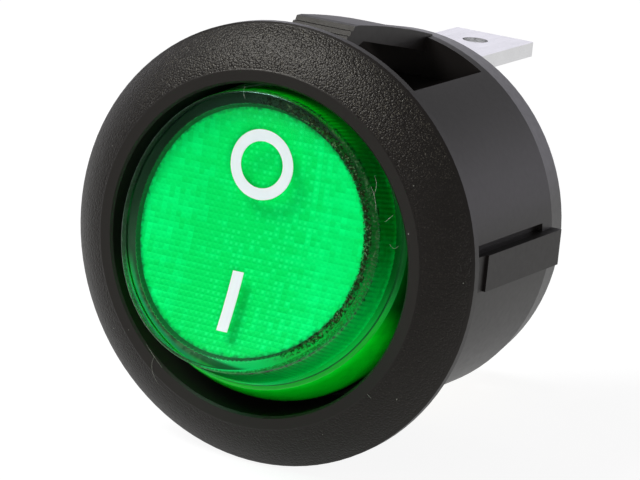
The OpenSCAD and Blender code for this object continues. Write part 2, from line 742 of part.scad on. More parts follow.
// Dog-bone body of the resistor, with a hole for the lead in each end.
module resistor() color([0.76, 0.66, 0.50]) translate([-resistor_x, resistor_y, 0]) difference() {
    union() {
        cylinder(d = resistor_d * 0.86, h = resistor_l - cap_l, center = true, $fn = small_fn);
        mirror_z() translate([0, 0, resistor_l / 2 - cap_l - collar_l])
            cylinder(d = resistor_d, h = cap_l, $fn = small_fn);
        cylinder(d = resistor_d * 0.6, h = resistor_l, center = true, $fn = small_fn);
    }
    for (side = [-1, 1]) translate([0, 0, side * (resistor_l / 2)])
        cylinder(r = lead_r + fit_gap, h = lead_grip * 2, center = true, $fn = wire_fn);
}

module resistor_lead() color([0.75, 0.75, 0.75]) wire(resistor_route, lead_d);

// Solder bead on a terminal's foot, round the end of a lead.
module solder(joint) translate([joint[0], foot_y, joint[2]]) intersection() {
    sphere(r = solder_r, $fn = small_fn);
    span([-1, -1, -1], [1, 0, 1]);
}

// Space that a lead's straight end takes up in its solder bead.
module lead_end(joint) translate([joint[0], 0, joint[2]]) rod_y(lead_r + fit_gap, joint[1] - 1, foot_y);

module solder_load() color([0.70, 0.70, 0.70]) difference() {
    solder(load_joint);
    lead_end(load_joint);
}

module solder_lamp() color([0.70, 0.70, 0.70]) difference() {
    solder(lamp_joint);
    lead_end(lamp_joint);
}

housing();
rocker();
plunger();
plunger_spring();
seesaw_contact();
moving_contact();
common_terminal();
load_terminal();
fixed_contact();
lamp_terminal();
neon_bulb();
electrode_left();
electrode_right();
lamp_lead();
link_lead();
lead_sleeve();
resistor();
resistor_lead();
solder_load();
solder_lamp();
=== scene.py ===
"""Looks of a round illuminated panel rocker switch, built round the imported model.

Metres, in the model's own frame: +X right, +Y into the panel, +Z up, origin at the
centre of the bezel's seating face. The rocker is dressed with a clear green shell over a
moulded lining with a field of prisms, and with its printed marks. Its hinge pins and the
plunger's spring are drawn again here too. The other CAD nodes keep their shape and get
their materials here.
"""
import json
import math
import random

import bmesh
import bpy
from mathutils import Matrix, Vector


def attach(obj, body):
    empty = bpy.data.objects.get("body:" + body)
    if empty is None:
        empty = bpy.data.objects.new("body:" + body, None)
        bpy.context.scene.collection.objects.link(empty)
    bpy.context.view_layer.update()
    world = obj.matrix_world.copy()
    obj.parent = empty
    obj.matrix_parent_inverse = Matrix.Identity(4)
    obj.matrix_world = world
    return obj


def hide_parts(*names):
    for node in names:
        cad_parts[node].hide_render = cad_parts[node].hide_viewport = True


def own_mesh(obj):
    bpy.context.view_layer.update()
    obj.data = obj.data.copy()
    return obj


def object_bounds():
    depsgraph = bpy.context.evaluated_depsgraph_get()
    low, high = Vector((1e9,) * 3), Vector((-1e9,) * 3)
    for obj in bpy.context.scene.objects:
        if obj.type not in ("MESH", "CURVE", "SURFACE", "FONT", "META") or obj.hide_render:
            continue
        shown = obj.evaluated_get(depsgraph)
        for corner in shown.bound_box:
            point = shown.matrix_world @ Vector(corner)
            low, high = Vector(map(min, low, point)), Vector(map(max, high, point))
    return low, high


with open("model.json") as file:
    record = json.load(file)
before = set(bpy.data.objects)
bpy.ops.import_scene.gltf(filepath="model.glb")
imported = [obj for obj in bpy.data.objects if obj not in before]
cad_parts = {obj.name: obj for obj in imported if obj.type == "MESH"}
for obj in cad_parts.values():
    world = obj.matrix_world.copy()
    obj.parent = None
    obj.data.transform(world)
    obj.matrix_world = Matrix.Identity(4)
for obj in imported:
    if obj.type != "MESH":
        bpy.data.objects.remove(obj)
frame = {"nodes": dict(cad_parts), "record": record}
cad_low, cad_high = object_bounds()

MM = 0.001
rng = random.Random(7)

# ---- Sizes in millimetres, measured from the hinge axis with the rocker level ----

HINGE = frame["record"]["behaviour"]["joints"][0]
PIVOT_Y = HINGE["pos_m"][1] / MM
TILT = HINGE["range_deg"][1] / 2

FACE_H = 5.17            # height of the middle of the face
HOLLOW_R = 21.7          # radius of the face's hollow, a cylinder along X
FACE_R = 7.1             # radius of the face where it meets the wall
WALL_DRAFT = math.radians(10)
FACE_EDGE_H = FACE_H + FACE_R ** 2 / (2 * HOLLOW_R)
SKIRT_R = 8.4            # the skirt is part of a ball about the hinge
SKIRT_TOP = 3.1
SKIRT_END = 0.3
EDGE_ROUND = 0.17        # rounding of the face's outer edge
FOOT_OUT, FOOT_UP = 0.02, 0.06    # small fillet where the wall meets the skirt's top
STEP_ROUND = 0.03        # rounding of the skirt's top edge
FACE_T = 0.75
CORE_R = 6.55            # hollow under the face, ribbed all round
LINING_T = 0.3
LINING_SKIRT_R = 8.2     # the lining follows close under the skirt
LINING_GAP = 0.01        # between the lining's field and the feet of the prisms
SOFT = 0.02              # how far zones stop short of a corner of the lining
RIM_R = 6.41             # round rim of the field, which the ribs run up to
RIM_T = 0.3
RIM_IN, RIM_DOWN = 0.05, 0.03     # bevel of that rim
LEDGE_H = 2.7            # height of the lining's ledge under the clear wall
POST_R = 2.1
POST_L = 5.2
BORE_R = 1.25
BORE_TOP = 2.6
PIN_R = 1.1
PIN_ROOT = 7.9
PIN_END = 9.14
PIN_CHAMFER = 0.15

SPRING_FOOT = -5.57      # in the plunger's cup
SPRING_R = 0.67
SPRING_WIRE = 0.24
SPRING_TURNS = 9
CLOSE_SHARE = 0.1        # share of the coil at each end that is wound close
CLOSE_PITCH = 0.35

PRISM = 0.3              # pitch of the prisms under the face
PRISM_H = 0.022
PRISM_ROOT = 0.24        # how deep the prisms are sunk into the lining
PRISM_MARGIN = 0.75      # pitches that stay free inside the rim
RIBS = 168               # ribs round the inside of the side wall
RIB_H = 0.045

RING_X, RING_Z = 0.15, 3.5        # middle of the O
RING_IN_X, RING_IN_Z = 1.2, 1.18  # its inner radii
RING_WIDTH = 0.59
BAR_X, BAR_Z = -0.04, -3.56       # middle of the I
BAR_WIDTH, BAR_LENGTH = 0.62, 3.1
INK_LIFT = 0.012         # the ink stands proud of the face by this
INK_ROOT = 0.03          # and reaches into it by this

BEZEL_RING_R = 9.23      # inside this the bezel's front is a flat, smooth ring
RING_Y = -2.25
SLOPE_R = 9.3            # outside this the bezel's front falls away
SLOPE_FALL, SLOPE_CURVE = 0.44, 0.15
BEZEL_EDGE_Y = -0.62     # behind this the bezel's edge is smooth
BARREL_R = 9.9

FLOOR_SIZE = 600.0
FLOOR_FRONT = -60.0      # the floor ends here, in front of the switch
FLOOR_GAP = 0.02         # between the floor and the bezel's lowest point

# Radii between which a finish on the rocker comes in (start, full) and goes out (full, end)
GRIT_BAND = (RIM_R + 0.05, RIM_R + 0.17, 6.8, 6.98)     # grit between the field and the edge
FOOT_SHADE_LINE = (7.12, 7.25, 7.45, 7.6)                     # painted shadow line at the foot of the wall
BEYOND_LINE = (7.45, 7.55)                              # painted light: green outside that line, on the lit side
RUBBED_END = (7.5, 7.66)                                # end of the smoky part, lower left

FIELD, RIBS_ZONE, LEDGE, SKIRT, INSIDE, RIM = range(6)    # zones of the rocker's lining

# ---- Camera and light, in millimetres ----

CAMERA_PLACE = (102.132, -194.046, 52.951)
CAMERA_FORWARD = (-0.44462, 0.86488, -0.23301)
CAMERA_UP = (-0.19686, 0.15942, 0.96738)
CAMERA_LENS = 248.43
WORLD_DIM, WORLD_GLOW = 0.1, 0.98        # strength all round, and more of it low at the back
FLOOR_DIM, FLOOR_GLOW = 0.1, 0.48        # the same for the floor as seen in reflections
FLOOR_SEEN = 0.9         # the floor's own light, as the camera sees it
LAMPS = (                # name, place, size, power in watts, shown in reflections
    ("key", (-220, -215, 367), 200, 1.6, True),
    ("fill", (-80, -420, 60), 260, 0.37, False),
    ("low_fill", (200, -370, -15), 200, 1.0, False),
)


# ---- Small helpers ----

class Tree:
    """Builds a node tree: inputs are given by name or number, as values or sockets."""

    def __init__(self, tree):
        self.tree = tree

    def add(self, kind, inputs=None, out=0, **settings):
        made = self.tree.nodes.new(kind)
        for key, value in settings.items():
            setattr(made, key, value)
        for key, value in (inputs or {}).items():
            self.put(made.inputs[key], value)
        return made.outputs[out]

    def put(self, socket, value):
        if isinstance(value, bpy.types.NodeSocket):
            self.tree.links.new(value, socket)
        else:
            socket.default_value = value

    def math(self, operation, a, b=0.0):
        return self.add("ShaderNodeMath", {0: a, 1: b}, operation=operation)

    def times(self, value, *factors):
        for factor in factors:
            value = self.math("MULTIPLY", value, factor)
        return value

    def line(self, value, slope, start):
        """start + slope * value."""
        return self.math("ADD", self.times(value, slope), start)

    def swing(self, value, size):
        """A value between 0 and 1 turned into one as wide as size, round 0."""
        return self.times(self.math("SUBTRACT", value, 0.5), size)

    def vectors(self, operation, a, b, out="Vector"):
        return self.add("ShaderNodeVectorMath", {0: a, 1: b}, out=out, operation=operation)

    def place(self):
        """Object coordinates in millimetres."""
        here = self.add("ShaderNodeTexCoord", out="Object")
        return self.add("ShaderNodeVectorMath", {0: here, 3: 1 / MM}, operation="SCALE")

    def split(self, vector):
        made = self.tree.nodes.new("ShaderNodeSeparateXYZ")
        self.put(made.inputs[0], vector)
        return made.outputs[0], made.outputs[1], made.outputs[2]

    def radius(self, a, b):
        return self.math("SQRT", self.math("ADD", self.times(a, a), self.times(b, b)))

    def hollow(self, z, middle):
        """Height of the hollow face at z, or of a surface that follows it."""
        return self.line(self.times(z, z), 0.5 / HOLLOW_R, middle)

    def step(self, value, start, end):
        """0 before start, 1 after end, smooth between them."""
        return self.add("ShaderNodeMapRange", {0: value, 1: start, 2: end},
                        interpolation_type="SMOOTHSTEP")

    def band(self, value, start, full, fading, end):
        """0 outside start and end, 1 between full and fading."""
        return self.times(self.step(value, start, full), self.step(value, end, fading))

    def mix(self, share, a, b):
        """a where share is 0 or less, b where it is 1 or more."""
        made = self.tree.nodes.new("ShaderNodeMix")
        made.data_type = "RGBA"
        self.put(made.inputs[0], share)
        self.put(made.inputs[6], a)
        self.put(made.inputs[7], b)
        return made.outputs[2]

    def noise(self, where, scale, detail=2.0, rough=0.5):
        return self.add("ShaderNodeTexNoise", {"Vector": where, "Scale": scale, "Detail": detail,
                                               "Roughness": rough}, out="Fac")

    def cells(self, where, scale):
        """Distance from the middle of the nearest of scattered cells."""
        return self.add("ShaderNodeTexVoronoi", {"Vector": where, "Scale": scale}, out="Distance")

    def squares(self, where, scale):
        """Place on a grid, the corner of the square there, and a chance from 0 to 1 for it."""
        grid = self.vectors("MULTIPLY", where, scale)
        corner = self.add("ShaderNodeVectorMath", {0: grid}, operation="FLOOR")
        chance = self.add("ShaderNodeTexWhiteNoise", {"Vector": corner}, out="Value")
        return grid, corner, chance

    def painted_glints(self, where, pitch):
        """A small bright spot in some of the squares of a grid in X and Z, used as a painted glint.
        """
        grid, corner, chance = self.squares(where, (1 / pitch, 0, 1 / pitch))
        inside = self.vectors("SUBTRACT", grid, corner)
        middle = (0.45, 0, 0.6)
        away = self.vectors("DISTANCE", inside, middle, out="Value")
        return self.times(self.step(away, 0.36, 0.14), self.step(chance, 0.3, 0.7))

    def bump(self, height, distance, strength=1.0):
        return self.add("ShaderNodeBump", {"Height": height, "Distance": distance,
                                           "Strength": strength})


def material(name, **sockets):
    """A Principled material, its shader and a Tree to add nodes with."""
    mat = bpy.data.materials.new(name)
    mat.use_nodes = True
    shader = mat.node_tree.nodes["Principled BSDF"]
    tree = Tree(mat.node_tree)
    for key, value in sockets.items():
        shader.inputs[key.replace("_", " ")].default_value = value
    return mat, shader, tree


def rgb(r, g, b):
    return (r, g, b, 1.0)


def dress(node, mat):
    slots = frame["nodes"][node].data.materials
    slots.clear()
    slots.append(mat)


def mesh_object(name, points, faces, mats, zones=None, smooth=True):
    """A mesh given in millimetres, with a material for each zone."""
    data = bpy.data.meshes.new(name)
    data.from_pydata([Vector(p) * MM for p in points], [], faces)
    data.polygons.foreach_set("use_smooth", [smooth] * len(faces))
    for mat in mats:
        data.materials.append(mat)
    if zones:
        data.polygons.foreach_set("material_index", zones)
    shape = bmesh.new()
    shape.from_mesh(data)
    bmesh.ops.recalc_face_normals(shape, faces=shape.faces)
    shape.to_mesh(data)
    shape.free()
    made = bpy.data.objects.new(name, data)
    bpy.context.scene.collection.objects.link(made)
    return made


def around(count):
    """Evenly spaced angles, once round."""
    return [2 * math.pi * i / count for i in range(count)]


def steps_between(a, b, steps):
    return [a + (b - a) * k / steps for k in range(steps + 1)]


# ---- Camera, floor and light ----

def make_camera():
    """The photograph's view."""
    forward = Vector(CAMERA_FORWARD).normalized()
    up = Vector(CAMERA_UP)
    up = (up - up.dot(forward) * forward).normalized()
    data = bpy.data.cameras.new("camera")
    data.lens = CAMERA_LENS
    data.sensor_width = 36
    data.clip_start = 0.01
    camera = bpy.data.objects.new("camera", data)
    camera.matrix_world = Matrix((forward.cross(up), up, -forward)).transposed().to_4x4()
    camera.matrix_world.translation = Vector(CAMERA_PLACE) * MM
    bpy.context.scene.collection.objects.link(camera)
    bpy.context.scene.camera = camera


def make_world():
    """White for the camera. For the rest a dim studio with a pale glow low down at the back."""
    world = bpy.data.worlds.new("studio")
    bpy.context.scene.world = world
    world.use_nodes = True
    tree = Tree(world.node_tree)
    background = world.node_tree.nodes["Background"]
    white, cool = rgb(1, 1, 1), rgb(0.92, 0.9, 1.0)
    _, y, z = tree.split(tree.add("ShaderNodeTexCoord", out="Generated"))
    glow = tree.times(tree.step(y, -0.6, 0.95), tree.step(z, 0.62, 0.15))
    studio = tree.line(glow, WORLD_GLOW, WORLD_DIM)
    seen = tree.add("ShaderNodeLightPath", out="Is Camera Ray")
    tree.put(background.inputs["Strength"], tree.add("ShaderNodeMix", {0: seen, 2: studio, 3: 1.0}))
    tree.put(background.inputs["Color"], tree.mix(seen, tree.mix(glow, white, cool), white))


def make_floor():
    """A pale sheet just under the bezel, which keeps the switch's shadow.

    It is lit from within for the camera, and less so in reflections, most of it at the back.
    """
    size, front, z = FLOOR_SIZE, FLOOR_FRONT, cad_low.z / MM - FLOOR_GAP
    corners = [(-size, front, z), (size, front, z), (size, size, z), (-size, size, z)]
    mat, shader, tree = material("floor_white", Roughness=0.9, Specular_IOR_Level=0.0)
    where = tree.place()
    tree.put(shader.inputs["Base Color"],
             tree.mix(tree.noise(where, 0.02), rgb(0.21, 0.21, 0.21), rgb(0.22, 0.22, 0.22)))
    path = mat.node_tree.nodes.new("ShaderNodeLightPath")
    mirrored = tree.math("MAXIMUM", path.outputs["Is Glossy Ray"],
                         path.outputs["Is Transmission Ray"])
    _, y, _ = tree.split(where)
    behind = tree.line(tree.step(y, -40.0, 20.0), FLOOR_GLOW, FLOOR_DIM)
    glow = tree.math("ADD", tree.times(path.outputs["Is Camera Ray"], FLOOR_SEEN),
                     tree.times(mirrored, behind))
    shader.inputs["Emission Color"].default_value = rgb(1, 1, 1)
    tree.put(shader.inputs["Emission Strength"], glow)
    floor = mesh_object("floor", corners, [(0, 1, 2, 3)], [mat], smooth=False)


def make_lamp(name, place, size, power, mirrored):
    """A square lamp turned to the middle of the switch's front."""
    data = bpy.data.lights.new(name, "AREA")
    data.size = size * MM
    data.energy = power
    lamp = bpy.data.objects.new(name, data)
    lamp.location = Vector(place) * MM
    lamp.rotation_euler = (-lamp.location).to_track_quat("-Z", "Y").to_euler()
    lamp.visible_glossy = mirrored
    lamp.visible_transmission = mirrored
    bpy.context.scene.collection.objects.link(lamp)


# ---- Materials ----

# Linear colours
BLACK_LOW = rgb(0.0098, 0.0083, 0.0078)         # housing
BLACK_HIGH = rgb(0.0135, 0.0118, 0.0112)
BLACK_SLOPE = rgb(0.008, 0.0068, 0.0062)        # between the grains of the textured slope
BLACK_RING = rgb(0.0185, 0.0168, 0.0155)        # the bezel's flat ring
PAINTED_GLINT_LOW = rgb(0.03, 0.027, 0.023)             # tips of the grains: painted highlights, dim below and bright above
PAINTED_GLINT_HIGH = rgb(0.1, 0.092, 0.072)
FIELD_DEEP = rgb(0.0, 0.74, 0.155)              # field of prisms
FIELD_BRIGHT = rgb(0.0, 0.97, 0.28)
# painted highlight on the prisms
FIELD_PAINTED_GLINT = rgb(0.04, 1.0, 0.4)
FIELD_EDGE = rgb(0.01, 0.2, 0.07)
RIBS_SHADED = rgb(0.0, 0.3, 0.02)                 # ribbed wall: painted shade, painted light where it stands proud and at the top, painted shade in the grooves
RIBS_LIT = rgb(0.0, 0.98, 0.18)
RIBS_TOP_LIT = rgb(0.0, 0.98, 0.02)
GROOVE_SHADE = rgb(0.0, 0.03, 0.006)
CRUMB_DARK = rgb(0.012, 0.02, 0.006)            # broken upper edge of that wall
CRUMB_GREEN = rgb(0.03, 0.3, 0.07)
CRUMB_PALE = rgb(0.11, 0.38, 0.12)
RIM_LEFT = rgb(0.015, 0.1, 0.035)               # the field's rim
RIM_RIGHT = rgb(0.012, 0.03, 0.012)
SKIRT_SHADED = rgb(0.0, 0.07, 0.005)              # skirt: painted shade in the gap, painted light where it stands proud
SKIRT_LIT = rgb(0.0, 1.0, 0.025)
LEDGE_DARK = rgb(0.045, 0.058, 0.036)           # ledge, out of the light
LEDGE_GREY = rgb(0.07, 0.085, 0.055)
LEDGE_RIGHT = rgb(0.0, 0.09, 0.01)              # ledge on the lit side: right, lower right, bottom
LEDGE_LOW = rgb(0.0, 0.7, 0.1)
LEDGE_BOTTOM = rgb(0.0, 0.95, 0.28)
FOOT_SHADE = rgb(0.0, 0.06, 0.008)              # painted shadow: the dark line at the foot of the wall
BEYOND_LIT = rgb(0.0, 0.55, 0.015)            # painted light: green outside that line
SMOKE_DARK = rgb(0.04, 0.06, 0.02)              # ledge at the lower left
SMOKE_PALE = rgb(0.13, 0.19, 0.08)
SMOKE_GREEN = rgb(0.01, 0.3, 0.14)
EDGE_WORN = rgb(0.14, 0.3, 0.13)                # rubbed edge of the face
GRIT_DARK = rgb(0.018, 0.024, 0.006)            # grit in the margin of the face
GRIT_PALE = rgb(0.15, 0.3, 0.13)
LENS, LENS_GLOSS = (0.55, 0.98, 0.78), (0.4, 1.0, 0.75)   # the clear green moulding
GREEN_GLOSS = rgb(0.05, 1.0, 0.45)              # gloss inside it

TO_LIGHT_X, TO_LIGHT_Z = 0.77, 0.64      # the painted light on the ledge falls this way: +X and -Z
VEIL = 9.0               # the colour of a worn spot counts this much more than its share


def housing_material():
    """Black moulded plastic: spark texture on the bezel's slope, satin elsewhere. Glints are
    painted on the slope's grain tips, brighter towards the top.
    """
    mat, shader, tree = material("housing_black", Specular_IOR_Level=0.4,
                                 Specular_Tint=rgb(1.0, 0.97, 0.9))
    where = tree.place()
    x, y, z = tree.split(where)
    radius = tree.radius(x, z)
    slope = tree.times(tree.step(radius, BEZEL_RING_R + 0.02, BEZEL_RING_R + 0.1),
                       tree.step(y, BEZEL_EDGE_Y, BEZEL_EDGE_Y - 0.08))
    ring = tree.times(tree.step(radius, BEZEL_RING_R + 0.05, BEZEL_RING_R),
                      tree.step(y, RING_Y + 0.25, RING_Y + 0.05))
    arms = tree.times(tree.step(radius, BARREL_R + 0.04, BARREL_R + 0.12),
                      tree.step(y, 0.1, 0.3))
    soft = tree.noise(where, 0.9)
    fine = tree.noise(where, 3.2)
    tone = tree.mix(soft, BLACK_LOW, BLACK_HIGH)
    tone = tree.mix(tree.times(slope, 0.7), tone, BLACK_SLOPE)
    tone = tree.mix(ring, tone, BLACK_RING)
    # Painted highlights: pale specks on the slope's grain tips, brighter towards the top, stand in
    # for the key lamp's glints.
    peak = tree.times(tree.step(tree.noise(where, 15.0, detail=1.0), 0.58, 0.74), slope)
    painted_glint = tree.mix(tree.step(z, 4.0, 9.6), PAINTED_GLINT_LOW, PAINTED_GLINT_HIGH)
    tree.put(shader.inputs["Base Color"], tree.mix(peak, tone, painted_glint))
    satin = tree.line(fine, 0.1, 0.3)
    rougher = tree.math("ADD", tree.times(arms, 0.1), tree.times(slope, 0.05))
    tree.put(shader.inputs["Roughness"], tree.math("ADD", satin, rougher))
    dome = tree.math("POWER", tree.cells(where, 9.5), 2.0)
    size = tree.line(tree.noise(where, 4.0), 1.6, 0.1)
    grain = tree.times(dome, size, slope, -1.0)
    tree.put(shader.inputs["Normal"],
             tree.bump(tree.math("ADD", grain, tree.times(fine, 0.05)), 0.03 * MM))
    return mat


def metal_material(name, colour, roughness, grain_scale, stretch=(1.0, 1.0, 1.0)):
    """Bright sheet or wire with fine drawing lines and a slightly uneven finish."""
    mat, shader, tree = material(name, Metallic=1.0)
    where = tree.place()
    lines = tree.noise(tree.vectors("MULTIPLY", where, stretch), grain_scale, detail=3.0, rough=0.6)
    cloud = tree.noise(where, 0.8, detail=3.0)
    dark = tuple(c * 0.9 for c in colour)
    tree.put(shader.inputs["Base Color"], tree.mix(cloud, rgb(*dark), rgb(*colour)))
    tree.put(shader.inputs["Roughness"], tree.line(lines, 0.12, roughness - 0.06))
    tree.put(shader.inputs["Normal"], tree.bump(lines, 0.004 * MM, 0.6))
    return mat


def plastic_material(name, dark, light, roughness, scale=1.5):
    """Smooth opaque plastic, ink or dust with a slightly uneven colour."""
    mat, shader, tree = material(name)
    where = tree.place()
    cloud = tree.noise(where, scale, detail=3.0)
    tree.put(shader.inputs["Base Color"], tree.mix(cloud, rgb(*dark), rgb(*light)))
    tree.put(shader.inputs["Roughness"], tree.line(cloud, 0.1, roughness - 0.05))
    tree.put(shader.inputs["Normal"], tree.bump(tree.noise(where, 6.0), 0.006 * MM, 0.5))
    return mat


def glass_material(name, colour, ior, roughness, gloss=(1, 1, 1)):
    """Clear material that lamps shine through: shadow and diffuse rays pass straight on."""
    mat, shader, tree = material(name, Transmission_Weight=1.0, IOR=ior, Specular_Tint=rgb(*gloss))
    where = tree.place()
    deep = tuple(c * 0.94 for c in colour)
    tree.put(shader.inputs["Base Color"],
             tree.mix(tree.noise(where, 0.35, detail=1.0), rgb(*deep), rgb(*colour)))
    smear = tree.step(tree.noise(where, 1.3, detail=3.0), 0.4, 0.8)
    tree.put(shader.inputs["Roughness"], tree.line(smear, 0.03, roughness))
    nodes = mat.node_tree.nodes
    path = nodes.new("ShaderNodeLightPath")
    passes = tree.math("MAXIMUM", path.outputs["Is Shadow Ray"], path.outputs["Is Diffuse Ray"])
    clear = tree.add("ShaderNodeBsdfTransparent", {0: rgb(*colour)})
    both = tree.add("ShaderNodeMixShader", {0: passes, 1: shader.outputs[0], 2: clear})
    tree.put(nodes["Material Output"].inputs["Surface"], both)
    return mat, shader, tree


def core_material(name, dark, light, roughness, scale):
    """Green moulding seen without the clear shell over it."""
    mat, shader, tree = material(name)
    cloud = tree.noise(tree.place(), scale, detail=3.0, rough=0.6)
    tree.put(shader.inputs["Base Color"],
             tree.mix(tree.step(cloud, 0.3, 0.7), rgb(*dark), rgb(*light)))
    tree.put(shader.inputs["Roughness"], tree.line(cloud, 0.1, roughness))
    return mat


def field_material():
    """Bright green prisms: deeper along the middle, with uneven rows and squares as moulded, and
    painted glints on the prisms near the middle.
    """
    mat, shader, tree = material("lining_field", Specular_Tint=GREEN_GLOSS)
    where = tree.place()
    x, _, z = tree.split(where)
    side = tree.step(tree.math("ABSOLUTE", tree.math("ADD", x, 0.6)), 1.5, 5.5)
    rows = tree.vectors("MULTIPLY", where, (0.35, 1.0, 3.4))
    share = tree.math("ADD", tree.times(side, 0.5), tree.swing(tree.noise(rows, 1.0), 0.9))
    for axes, weight in (((1, 0, 1), 0.4), ((1, 0, 0), 0.3), ((0, 0, 1), 0.15)):
        _, _, chance = tree.squares(where, [a / PRISM for a in axes])
        share = tree.math("ADD", share, tree.swing(chance, weight))
    body = tree.mix(share, FIELD_DEEP, FIELD_BRIGHT)
    # Painted highlights: bright spots on the prisms near the middle stand in for the lamp's glints
    # in their facets.
    middle = tree.step(tree.math("ABSOLUTE", tree.math("SUBTRACT", x, 1.0)), 4.5, 1.5)
    painted_glints = tree.times(tree.painted_glints(where, PRISM), middle, 0.36)
    body = tree.mix(painted_glints, body, FIELD_PAINTED_GLINT)
    fuzz = tree.swing(tree.noise(where, 4.0, detail=3.0), 0.6)
    rim = tree.step(tree.math("ADD", tree.radius(x, z), fuzz), RIM_R - 0.2, RIM_R + 0.12)
    tree.put(shader.inputs["Base Color"], tree.mix(rim, body, FIELD_EDGE))
    tree.put(shader.inputs["Roughness"], tree.line(tree.noise(where, 2.0), 0.1, 0.33))
    return mat


def ribs_material():
    """Ribs inside the clear wall, with painted light: bright where the rocker stands proud and at
    the very top, painted shade elsewhere.

    The grooves are painted dark as shade and show on the lower right. The upper edge is dark and
    broken, but for the lower left.
    """
    mat, shader, tree = material("lining_ribs", Roughness=0.35, Specular_Tint=GREEN_GLOSS)
    where = tree.place()
    x, y, z = tree.split(where)
    cloud = tree.swing(tree.noise(where, 2.5, detail=3.0), 0.8)
    # Painted light: brighter where the rocker stands proud of the bezel, darker above, and bright
    # again at the very top.
    lit_share = tree.math("ADD", tree.step(z, 2.0, -4.0), cloud)
    body = tree.mix(lit_share, RIBS_SHADED, RIBS_LIT)
    body = tree.mix(tree.step(z, 4.3, 6.6), body, RIBS_TOP_LIT)
    below = tree.math("ADD", tree.hollow(z, FACE_H - RIM_T), y)
    wave = tree.math("COSINE", tree.times(tree.math("ARCTAN2", z, x), RIBS))
    # Painted shade in the grooves between the ribs, shown on the lower right only.
    groove_shade = tree.step(tree.math("ADD", wave, tree.noise(where, 1.6)), 0.2, 1.6)
    fade = tree.line(tree.step(below, 1.6, 0.4), 0.4, 0.1)
    fade = tree.times(fade, tree.step(z, 2.0, -2.0), tree.step(x, -1.5, 2.5))
    lined = tree.mix(tree.times(fade, groove_shade), body, GROOVE_SHADE)
    crumb = tree.noise(where, 4.2, detail=4.0, rough=0.75)
    broken = tree.mix(tree.step(crumb, 0.4, 0.56), CRUMB_DARK, CRUMB_GREEN)
    broken = tree.mix(tree.step(crumb, 0.6, 0.68), broken, CRUMB_PALE)
    ragged = tree.math("ADD", below, tree.swing(crumb, 1.2))
    rough_side = tree.math("MAXIMUM", tree.step(x, -1.5, 2.0), tree.step(z, -3.0, 0.0))
    top = tree.times(tree.step(ragged, 0.75, 0.5), rough_side)
    tree.put(shader.inputs["Base Color"], tree.mix(top, lined, broken))
    return mat


def rim_material():
    """Edge of the field: a dark line on the right, fading away to the left."""
    mat, shader, tree = material("lining_rim", Roughness=0.45, Specular_Tint=GREEN_GLOSS)
    where = tree.place()
    x, _, _ = tree.split(where)
    patchy = tree.swing(tree.noise(where, 3.5, detail=3.0), 0.9)
    dark = tree.math("ADD", tree.step(x, -3.0, 4.0), patchy)
    tree.put(shader.inputs["Base Color"], tree.mix(dark, RIM_LEFT, RIM_RIGHT))
    return mat


def skirt_material():
    """The round skirt: painted light where it stands proud of the bezel, painted shade down in the
    gap.
    """
    mat, shader, tree = material("lining_skirt", Roughness=0.3, Specular_Tint=GREEN_GLOSS)
    where = tree.place()
    _, _, z = tree.split(where)
    cloud = tree.swing(tree.noise(where, 1.2), 0.5)
    lit_share = tree.times(tree.step(z, -2.0, -4.4), tree.math("ADD", cloud, 1.0))
    tree.put(shader.inputs["Base Color"], tree.mix(lit_share, SKIRT_SHADED, SKIRT_LIT))
    return mat


def ledge_material():
    """Ledge round the foot of the clear wall: dark grey as painted shade, and green on the lower
    right as painted light.

    The lit side has a painted shadow, a dark line at the wall's foot. The lower left is smoky and
    rubbed out to the skirt's edge, which is green.
    """
    mat, shader, tree = material("lining_ledge", Roughness=0.4)
    where = tree.place()
    x, _, z = tree.split(where)
    radius = tree.radius(x, z)
    to_light = tree.math("SUBTRACT", tree.times(x, TO_LIGHT_X), tree.times(z, TO_LIGHT_Z))
    outward = tree.times(tree.math("SUBTRACT", radius, FACE_R), 1.5)
    # Painted light: green on the side towards the light, dark grey as painted shade elsewhere.
    lit = tree.step(tree.math("ADD", to_light, outward), -0.7, 3.2)
    cloud = tree.noise(where, 1.5, detail=3.0)
    dark = tree.mix(cloud, LEDGE_DARK, LEDGE_GREY)
    bottom = tree.mix(tree.step(x, 3.5, 1.0), LEDGE_LOW, LEDGE_BOTTOM)
    bright = tree.mix(tree.step(z, 0.0, -5.0), LEDGE_RIGHT, bottom)
    # Painted shadow: a dark line at the foot of the wall.
    foot = tree.times(tree.band(radius, *FOOT_SHADE_LINE), 0.9)
    green = tree.mix(foot, bright, FOOT_SHADE)
    beyond = tree.times(tree.step(radius, *BEYOND_LINE), tree.step(to_light, 1.5, 4.5),
                        tree.step(z, -1.5, -4.0))
    green = tree.mix(beyond, green, BEYOND_LIT)
    low_left = tree.times(tree.step(x, -0.6, -3.2), tree.step(z, -2.0, -4.8))
    crumb = tree.step(tree.noise(where, 4.2, detail=4.0, rough=0.75), 0.42, 0.6)
    smoky = tree.mix(crumb, SMOKE_DARK, SMOKE_PALE)
    rubbed = tree.mix(tree.step(radius, *RUBBED_END), smoky, SMOKE_GREEN)
    green = tree.mix(low_left, green, rubbed)
    tree.put(shader.inputs["Base Color"],
             tree.mix(tree.math("MAXIMUM", lit, low_left), dark, green))
    return mat


